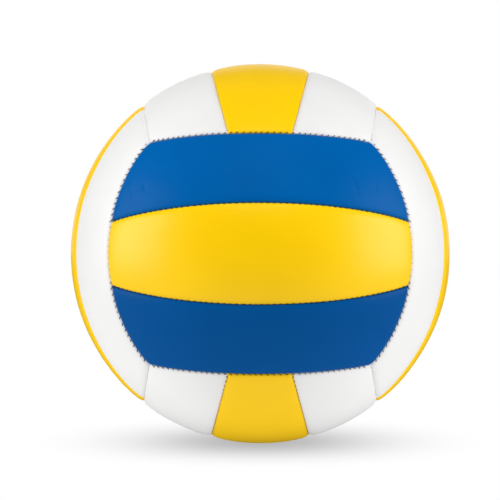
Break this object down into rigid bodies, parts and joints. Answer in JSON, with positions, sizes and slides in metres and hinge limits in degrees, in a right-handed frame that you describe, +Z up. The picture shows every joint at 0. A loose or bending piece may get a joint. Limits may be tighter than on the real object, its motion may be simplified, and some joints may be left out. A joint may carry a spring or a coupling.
{
  "type": "volleyball",
  "caption": "Sewn volleyball: faces of three curved padded panels round an air bladder, with thread in the seams and a rubber needle valve at the back.",
  "frame": {"origin": "centre of the ball", "axes": "+Z up; the face with the blue panels of the picture looks along -Y; +Y runs out of the valve"},
  "size_m": [0.21, 0.2099, 0.21],
  "materials": {
    "yellow_cover": "satin",
    "blue_cover": "satin",
    "white_cover": "satin",
    "thread": "matte",
    "bladder_rubber": "matte",
    "valve_rubber": "matte"
  },
  "bodies": {
    "root": {"back_left_seam_thread": "thread", "back_lower_panel": "blue_cover", "back_lower_seam_thread": "thread", "back_middle_panel": "yellow_cover", "back_right_seam_thread": "thread", "back_upper_panel": "blue_cover", "back_upper_seam_thread": "thread", "bladder": "bladder_rubber", "bottom_back_seam_thread": "thread", "bottom_front_seam_thread": "thread", "bottom_left_panel": "white_cover", "bottom_left_seam_thread": "thread", "bottom_middle_panel": "yellow_cover", "bottom_right_panel": "white_cover", "bottom_right_seam_thread": "thread", "front_left_seam_thread": "thread", "front_lower_panel": "blue_cover", "front_lower_seam_thread": "thread", "front_middle_panel": "yellow_cover", "front_right_seam_thread": "thread", "front_upper_panel": "blue_cover", "front_upper_seam_thread": "thread", "left_back_panel": "white_cover", "left_back_seam_thread": "thread", "left_front_panel": "white_cover", "left_front_seam_thread": "thread", "left_lower_seam_thread": "thread", "left_middle_panel": "yellow_cover", "left_upper_seam_thread": "thread", "right_back_panel": "white_cover", "right_back_seam_thread": "thread", "right_front_panel": "white_cover", "right_front_seam_thread": "thread", "right_lower_seam_thread": "thread", "right_middle_panel": "yellow_cover", "right_upper_seam_thread": "thread", "top_back_seam_thread": "thread", "top_front_seam_thread": "thread", "top_left_panel": "white_cover", "top_left_seam_thread": "thread", "top_middle_panel": "yellow_cover", "top_right_panel": "white_cover", "top_right_seam_thread": "thread", "valve_housing": "valve_rubber", "valve_insert": "valve_rubber"}
  },
  "joints": []
}
